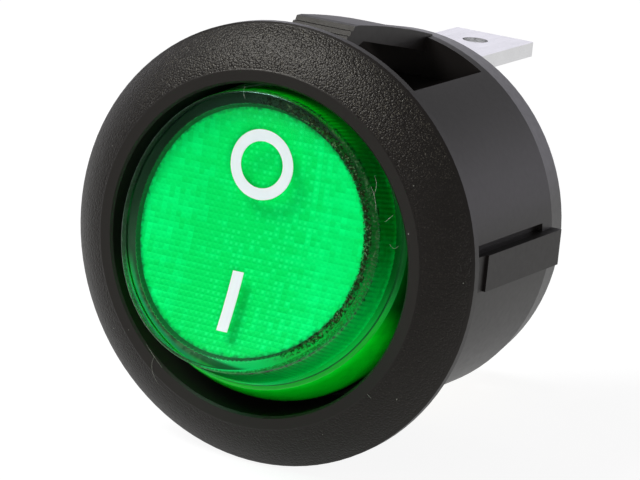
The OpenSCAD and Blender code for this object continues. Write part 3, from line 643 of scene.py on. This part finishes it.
def lens_material():
    """The rocker's clear green moulding: rubbed along the face's edge, most of all on the right,
    with dark and pale grit in the margin between that edge and the field.

    A rubbed or gritty spot is only partly opaque, so its colour is taken in full (VEIL) there,
    or the clear green would turn chalky.
    """
    mat, shader, tree = glass_material("lens_green", LENS, 1.49, 0.1, gloss=LENS_GLOSS)
    where = tree.place()
    x, y, z = tree.split(where)
    radius = tree.radius(x, z)
    rise = tree.math("SUBTRACT", tree.times(y, -1.0), tree.hollow(z, FACE_H))
    on_face = tree.step(rise, -0.12, -0.04)
    edge = tree.times(tree.step(radius, FACE_R - 0.12, FACE_R - 0.06), on_face)
    rubbed = tree.times(edge, tree.step(tree.noise(where, 8.0, detail=3.0, rough=0.75), 0.46, 0.66))
    side = tree.line(tree.times(tree.step(x, -2.0, 5.0), 0.3), tree.step(z, -4.5, -0.5), 0.06)
    margin = tree.times(tree.band(radius, *GRIT_BAND), on_face,
                        tree.step(x, -1.0, 2.5), tree.step(z, -6.2, -3.2))
    dark = tree.times(margin, tree.step(tree.noise(where, 5.0, detail=3.0, rough=0.8), 0.48, 0.55))
    pale = tree.times(margin, tree.step(tree.noise(where, 7.0, detail=2.0, rough=0.8), 0.59, 0.64))
    base = shader.inputs["Base Color"].links[0].from_socket
    for share, colour in ((rubbed, EDGE_WORN), (dark, GRIT_DARK), (pale, GRIT_PALE)):
        base = tree.mix(tree.times(share, VEIL), base, colour)
    tree.put(shader.inputs["Base Color"], base)
    worn = tree.math("MAXIMUM", tree.times(rubbed, side), tree.times(dark, 0.55))
    worn = tree.math("MAXIMUM", worn, tree.times(pale, 0.5))
    sheen = shader.inputs["Roughness"].links[0].from_socket
    tree.put(shader.inputs["Roughness"], tree.math("ADD", sheen, tree.times(edge, 0.1)))
    tree.put(shader.inputs["Transmission Weight"], tree.math("SUBTRACT", 1.0, worn))
    return mat


# ---- Rocker ----

def face_height(z):
    return FACE_H + HOLLOW_R - math.sqrt(HOLLOW_R ** 2 - z * z)


def wall_radius(height):
    return FACE_R + (FACE_EDGE_H - height) * math.tan(WALL_DRAFT)


def edge_of_face(angle):
    """Radius and height where the hollow face meets the wall, before rounding."""
    radius = FACE_R
    for _ in range(4):
        height = face_height(radius * math.sin(angle))
        radius = wall_radius(height)
    return radius, height


def ball_radius(height, r):
    return math.sqrt(max(r * r - height * height, 0.0))


def on_rocker(name, points, faces, mats, zones=None, smooth=True, body="button"):
    """A piece given as x, height over the hinge axis and z, laid on the rocker at rest."""
    made = mesh_object(name, [(x, -h, z) for x, h, z in points], faces, mats, zones, smooth)
    tilted = Matrix.Rotation(math.radians(-TILT), 4, "X")
    made.matrix_world = Matrix.Translation((0, PIVOT_Y * MM, 0)) @ tilted
    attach(made, body)
    return made


def turned_solid(name, segments, profile, mats, smooth=True):
    """A closed solid turned about the height axis. profile(angle) lists radius, height and zone."""
    angles = around(segments)
    columns = [profile(angle) for angle in angles]
    last = len(columns[0]) - 1
    points, faces, zones = [(0, columns[0][0][1], 0)], [], []
    for angle, column in zip(angles, columns):
        points += [(r * math.cos(angle), h, r * math.sin(angle)) for r, h, _ in column[1:last]]
    points.append((0, columns[0][last][1], 0))
    tall = last - 1
    for i in range(segments):
        a, b = 1 + i * tall, 1 + (i + 1) % segments * tall
        faces.append((0, b, a))
        zones.append(columns[i][1][2])
        for j in range(tall - 1):
            faces.append((a + j, b + j, b + j + 1, a + j + 1))
            zones.append(columns[i][j + 2][2])
        faces.append((a + tall - 1, b + tall - 1, len(points) - 1))
        zones.append(columns[i][last][2])
    return on_rocker(name, points, faces, mats, zones, smooth)


def arc(cr, ch, radius, start, end, steps, zone):
    """Points on an arc in the radius and height plane."""
    turn = steps_between(start, end, steps)
    return [(cr + radius * math.cos(t), ch + radius * math.sin(t), zone) for t in turn]


def face_line(angle, radius, steps, lower, zone):
    """Points over the hollow face, from its middle out to a radius."""
    return [(radius * k / steps, face_height(radius * k / steps * math.sin(angle)) - lower, zone)
            for k in range(steps + 1)]


def shell_profile(angle):
    """The clear moulding's outside; its inner side runs inside the lining."""
    radius, height = edge_of_face(angle)
    rise = math.atan2(radius * math.sin(angle) ** 2, HOLLOW_R)
    turn = math.pi / 2 + rise - WALL_DRAFT
    start = radius - EDGE_ROUND * math.tan(turn / 2) * math.cos(rise)
    middle_r = start + EDGE_ROUND * math.sin(rise)
    middle_h = face_height(start * math.sin(angle)) - EDGE_ROUND * math.cos(rise)
    line = face_line(angle, start, steps=20, lower=0.0, zone=0)
    line += arc(middle_r, middle_h, EDGE_ROUND, math.pi / 2 + rise, WALL_DRAFT, steps=6, zone=0)[1:]
    top, foot = line[-1][1], SKIRT_TOP + FOOT_UP
    line += [(wall_radius(h), h, 0) for h in steps_between(top, foot, 6)[1:]]
    line += [(wall_radius(SKIRT_TOP) + FOOT_OUT, SKIRT_TOP, 0),
             (ball_radius(SKIRT_TOP, SKIRT_R) - STEP_ROUND, SKIRT_TOP, 0)]
    line += [(ball_radius(h, SKIRT_R), h, 0)
             for h in steps_between(SKIRT_TOP - STEP_ROUND, SKIRT_END, 9)]
    inner, ledge = LINING_SKIRT_R - LINING_T / 2, LEDGE_H - LINING_T / 2
    line += [(ball_radius(h, inner), h, 0) for h in steps_between(SKIRT_END, ledge, 4)]
    under = FACE_H - FACE_T - LINING_T / 2
    line += [(CORE_R - RIB_H - LINING_T / 2, h, 0) for h in (ledge, under)]
    line.append((0, under, 0))
    return line


def lining_profile(angle):
    """What shows through the clear moulding: zones FIELD, RIBS, LEDGE, SKIRT, INSIDE and RIM."""
    phase = (angle * RIBS / (2 * math.pi)) % 1.0
    side = CORE_R - RIB_H * (1 - abs(2 * phase - 1))
    line = face_line(angle, RIM_R, steps=8, lower=FACE_T + LINING_GAP, zone=FIELD)
    top = face_height(side * math.sin(angle)) - RIM_T
    line += [(side - RIM_IN, top - RIM_DOWN, RIM), (side - SOFT, top, RIM)]
    line += [(side, h, RIBS_ZONE) for h in steps_between(top - RIM_DOWN, LEDGE_H + SOFT, 6)]
    line += [(r, LEDGE_H, LEDGE)
             for r in (CORE_R + SOFT, ball_radius(LEDGE_H, LINING_SKIRT_R) - SOFT)]
    line += [(ball_radius(h, LINING_SKIRT_R), h, SKIRT)
             for h in steps_between(LEDGE_H - SOFT, SKIRT_END, 6)]
    inner, under = LINING_SKIRT_R - LINING_T, FACE_H - FACE_T - LINING_T
    line += [(ball_radius(h, inner), h, INSIDE)
             for h in steps_between(SKIRT_END, LEDGE_H - LINING_T, 3)]
    line += [(CORE_R - RIB_H - LINING_T, h, INSIDE) for h in (LEDGE_H - LINING_T, under)]
    line += [(r, h, INSIDE) for r, h in ((POST_R, under), (POST_R, -POST_L), (BORE_R, -POST_L),
                                         (BORE_R, BORE_TOP), (0, BORE_TOP))]
    return line


def prism_field(mats):
    """Square prisms on a grid that follows the face, as one closed solid."""
    count = int(CORE_R / PRISM) + 1
    reach = RIM_R / PRISM - PRISM_MARGIN
    inside = {(i, k) for i in range(-count, count) for k in range(-count, count)
              if math.hypot(i + 0.5, k + 0.5) < reach}
    points, faces, where = [], [], {}

    def point(i, k, level):
        key = (i, k, level)
        if key not in where:
            x, z = i * PRISM, k * PRISM
            lift = {"low": -PRISM_ROOT, "foot": 0.0, "tip": PRISM_H}[level]
            where[key] = len(points)
            points.append((x, face_height(z) - FACE_T + lift, z))
        return where[key]

    for i, k in sorted(inside):
        ring = [(i, k), (i + 1, k), (i + 1, k + 1), (i, k + 1)]
        tip = point(i + 0.5, k + 0.5, "tip")
        foot = [point(*c, "foot") for c in ring]
        low = [point(*c, "low") for c in ring]
        beyond = [(i, k - 1), (i + 1, k), (i, k + 1), (i - 1, k)]
        faces.append(tuple(low))
        for n in range(4):
            m = (n + 1) % 4
            faces.append((foot[m], foot[n], tip))
            if beyond[n] not in inside:
                faces.append((foot[n], foot[m], low[m], low[n]))
    return on_rocker("rocker_prisms", points, faces, mats, smooth=False)


def raised_mark(name, mat, outline, rings, closed):
    """A thin printed mark that follows the face. outline(s, t) gives x and z."""
    steps = 96 if closed else 2
    shares = steps_between(0, 1, rings)
    levels = [(t, INK_LIFT) for t in shares] + [(1 - t, -INK_ROOT) for t in shares]
    points, faces, rows = [], [], []
    for n in range(steps if closed else steps + 1):
        rows.append(range(len(points), len(points) + len(levels)))
        for side, level in levels:
            x, z = outline(n / steps, side)
            points.append((x, face_height(z) + level, z))
    for n in range(steps):
        a, b = rows[n], rows[(n + 1) % len(rows)]
        for j in range(len(levels)):
            m = (j + 1) % len(levels)
            faces.append((a[j], a[m], b[m], b[j]))
    if not closed:
        faces += [tuple(rows[0]), tuple(reversed(rows[-1]))]
    return on_rocker(name, points, faces, [mat], smooth=False)


def make_rocker():
    """The clear shell, the lining and prisms under it, and the printed marks."""
    shell = turned_solid("rocker_shell", 224, shell_profile, [lens_material()])
    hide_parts("rocker")
    field = field_material()
    zones = [field,
             ribs_material(),
             ledge_material(),
             skirt_material(),
             core_material("lining_inside", (0.0, 0.4, 0.05), (0.0, 0.5, 0.08), 0.4, 0.8),
             rim_material()]
    lining = turned_solid("rocker_lining", RIBS * 4, lining_profile, zones)
    prisms = prism_field([field])
    ink = plastic_material("mark_white", (0.72, 0.8, 0.81), (0.78, 0.86, 0.87), 0.45, 2.0)

    def ring_mark(s, t):
        a, out = 2 * math.pi * s, RING_WIDTH * t
        return (RING_X + (RING_IN_X + out) * math.cos(a),
                RING_Z + (RING_IN_Z + out) * math.sin(a))

    def bar_mark(s, t):
        return (s - 0.5) * BAR_WIDTH + BAR_X, BAR_Z + (t - 0.5) * BAR_LENGTH

    raised_mark("mark_off", ink, ring_mark, 3, True)
    raised_mark("mark_on", ink, bar_mark, 10, False)


def make_pins():
    """The two hinge pins, moulded on the skirt."""
    sides = 32
    outline = ((PIN_ROOT, PIN_R), (PIN_END - PIN_CHAMFER, PIN_R), (PIN_END, PIN_R - PIN_CHAMFER))
    points, faces = [], []
    for side in (-1, 1):
        base = len(points)
        for x, r in outline:
            points += [(side * x, r * math.cos(a), r * math.sin(a)) for a in around(sides)]
        for i in range(sides):
            m = (i + 1) % sides
            faces += [(base + k + i, base + k + m, base + k + sides + m, base + k + sides + i)
                      for k in (0, sides)]
        faces += [tuple(range(base, base + sides)),
                  tuple(range(base + 2 * sides, base + 3 * sides))]
    mat = core_material("pin_green", (0.0, 0.4, 0.05), (0.0, 0.55, 0.09), 0.35, 1.5)
    on_rocker("rocker_pins", points, faces, [mat], smooth=False)


# ---- Round rods: the spring and the fibres ----

def ring_round(middle, across, other, radius, sides):
    return [tuple(middle + radius * (math.cos(a) * across + math.sin(a) * other))
            for a in around(sides)]


def rod_faces(rings, sides):
    """Faces of a rod whose rings of points follow one another, with both ends closed."""
    faces = []
    for ring in range(0, (rings - 1) * sides, sides):
        for k in range(sides):
            a, b = ring + k, ring + (k + 1) % sides
            faces.append((a, b, b + sides, a + sides))
    return faces + [tuple(range(sides)), tuple(range((rings - 1) * sides, rings * sides))]


def spring_rise(share):
    """How far along its length the coil has risen: close turns at both ends."""
    low = CLOSE_SHARE * CLOSE_PITCH
    if share < CLOSE_SHARE:
        return share * CLOSE_PITCH
    if share > 1 - CLOSE_SHARE:
        return 1 - (1 - share) * CLOSE_PITCH
    return low + (share - CLOSE_SHARE) * (1 - 2 * low) / (1 - 2 * CLOSE_SHARE)


def make_spring():
    """The plunger's spring. It rides with the plunger."""
    per_turn, sides = 14, 8
    free = BORE_TOP - SPRING_FOOT - SPRING_WIRE
    path = []
    for i in range(SPRING_TURNS * per_turn + 1):
        turn = 2 * math.pi * i / per_turn
        height = BORE_TOP - SPRING_WIRE / 2 - free * spring_rise(i / (SPRING_TURNS * per_turn))
        path.append(Vector((SPRING_R * math.cos(turn), height, SPRING_R * math.sin(turn))))
    points = []
    for i, here in enumerate(path):
        along = (path[min(i + 1, len(path) - 1)] - path[max(i - 1, 0)]).normalized()
        out = Vector((here.x, 0, here.z)).normalized()
        points += ring_round(here, out, along.cross(out).normalized(), SPRING_WIRE / 2, sides)
    steel = metal_material("spring_steel", (0.62, 0.63, 0.65), 0.25, 8.0)
    spring = on_rocker("spring_coil", points, rod_faces(len(path), sides), [steel], body="slider")
    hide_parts("plunger_spring")
    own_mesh(spring)


# ---- Dust ----

def hair(start, bend, end, radius=0.009, rings=14, sides=6):
    """Points and faces of a thin fibre that curves from start to end by way of bend."""
    start, bend, end = Vector(start), Vector(bend), Vector(end)
    points = []
    for t in steps_between(0, 1, rings):
        here = (1 - t) ** 2 * start + 2 * t * (1 - t) * bend + t * t * end
        along = ((1 - t) * (bend - start) + t * (end - bend)).normalized()
        across = along.orthogonal().normalized()
        thin = radius * (1 - 0.6 * abs(2 * t - 1) ** 3)
        points += ring_round(here, across, along.cross(across), thin, sides)
    return points, rod_faces(rings + 1, sides)


def flake(place, size):
    """Points and faces of a small uneven speck."""
    ways = ((1, 0, 0), (0, 1, 0), (-1, 0, 0), (0, -1, 0), (0, 0, 1), (0, 0, -1))
    points = [tuple(Vector(place) + Vector(way) * size * rng.uniform(0.6, 1.2)) for way in ways]
    faces = [(i, (i + 1) % 4, 4) for i in range(4)] + [((i + 1) % 4, i, 5) for i in range(4)]
    return points, faces


def gather(name, parts, mat, body):
    """One mesh of many loose parts, riding on a body."""
    points, faces = [], []
    for more_points, more_faces in parts:
        faces += [tuple(i + len(points) for i in face) for face in more_faces]
        points += more_points
    made = mesh_object(name, points, faces, [mat])
    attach(made, body)


def bezel_place(angle, radius):
    """A point on the bezel's front."""
    out = max(radius - SLOPE_R, 0.0)
    y = RING_Y + SLOPE_FALL * out + SLOPE_CURVE * out * out
    turn = math.radians(angle)
    return radius * math.cos(turn), y, radius * math.sin(turn)


SPECKS = (               # angle in degrees, radius and size of specks on the bezel
    (158, 9.8, 0.035), (216, 10.0, 0.045), (-36, 10.4, 0.05), (17, 8.8, 0.04), (53, 11.1, 0.035),
    (2, 11.1, 0.045), (-62, 9.9, 0.03), (98, 10.9, 0.03), (31, 9.7, 0.03), (-141, 9.0, 0.03),
)
BEZEL_HAIRS = (          # start, bend and end of fibres
    ((6.1, -1.2, -5.9), (6.7, -2.4, -5.6), (7.3, -2.2, -6.2)),
    ((-5.3, -2.27, -6.7), (-5.6, -2.4, -7.4), (-4.9, -2.2, -8.2), 0.007),
    ((-5.9, -2.2, -6.2), (-5.0, -2.5, -6.9), (-4.6, -2.1, -7.5), 0.007),
)
ROCKER_HAIRS = (
    ((-1.1, -3.0, 7.8), (-1.3, -3.0, 8.1), (-1.5, -2.4, 8.3)),
    ((6.4, -2.9, 4.7), (6.8, -3.0, 4.2), (6.9, -3.1, 3.6)),
    ((6.3, -2.5, 5.2), (6.7, -2.7, 4.9), (6.6, -2.9, 4.3), 0.007),
    ((7.5, -2.4, 1.9), (7.7, -2.2, 1.5), (7.8, -2.0, 1.8)),
    ((7.2, -2.6, 3.0), (7.4, -2.5, 3.2), (7.5, -2.3, 3.4), 0.008),
)


def make_dust():
    """Fibres and specks of dust on the bezel and in the gap round the rocker."""
    pale = plastic_material("dust_pale", (0.26, 0.27, 0.23), (0.42, 0.42, 0.37), 0.85, 3.0)
    specks = [flake(bezel_place(angle, radius), size) for angle, radius, size in SPECKS]
    gather("dust_on_housing", specks + [hair(*line) for line in BEZEL_HAIRS], pale, "base")
    gather("dust_on_rocker", [hair(*line) for line in ROCKER_HAIRS], pale, "button")


# ---- The other nodes ----

def dress_nodes():
    """Finishes for the CAD nodes that keep their own shape."""
    tin = metal_material("tab_tin", (0.96, 0.96, 0.97), 0.25, 3.0, (1.0, 0.15, 1.0))
    silver = metal_material("silver", (0.9, 0.9, 0.9), 0.25, 5.0)
    wire = metal_material("lead_tin", (0.8, 0.8, 0.82), 0.3, 6.0)
    finishes = {
        "housing": housing_material(),
        "plunger": plastic_material("plunger_white", (0.78, 0.77, 0.72), (0.85, 0.84, 0.8), 0.4),
        "seesaw_contact": metal_material("copper", (0.85, 0.5, 0.32), 0.28, 3.0, (0.2, 1.0, 1.0)),
        "moving_contact": silver, "fixed_contact": silver,
        "common_terminal": tin, "load_terminal": tin,
        "lamp_terminal": metal_material("tab_brass", (0.84, 0.7, 0.4), 0.28, 3.0, (1.0, 0.15, 1.0)),
        "neon_bulb": glass_material("lamp_glass", (0.93, 0.96, 0.97), 1.47, 0.0)[0],
        "electrode_left": metal_material("nickel", (0.6, 0.6, 0.57), 0.35, 6.0),
        "lamp_lead": wire, "link_lead": wire, "resistor_lead": wire,
        "lead_sleeve": plastic_material("sleeve_white", (0.8, 0.78, 0.7), (0.88, 0.86, 0.8),
                                        0.7, 5.0),
        "resistor": plastic_material("resistor_tan", (0.62, 0.5, 0.33), (0.74, 0.62, 0.44), 0.35),
        "solder_load": metal_material("solder", (0.7, 0.7, 0.72), 0.3, 2.0),
    }
    finishes["electrode_right"] = finishes["electrode_left"]
    finishes["solder_lamp"] = finishes["solder_load"]
    for name, mat in finishes.items():
        dress(name, mat)


bpy.context.scene.view_settings.view_transform = "Standard"
make_camera()
make_world()
make_floor()
for lamp in LAMPS:
    make_lamp(*lamp)
make_rocker()
make_pins()
make_spring()
make_dust()
dress_nodes()
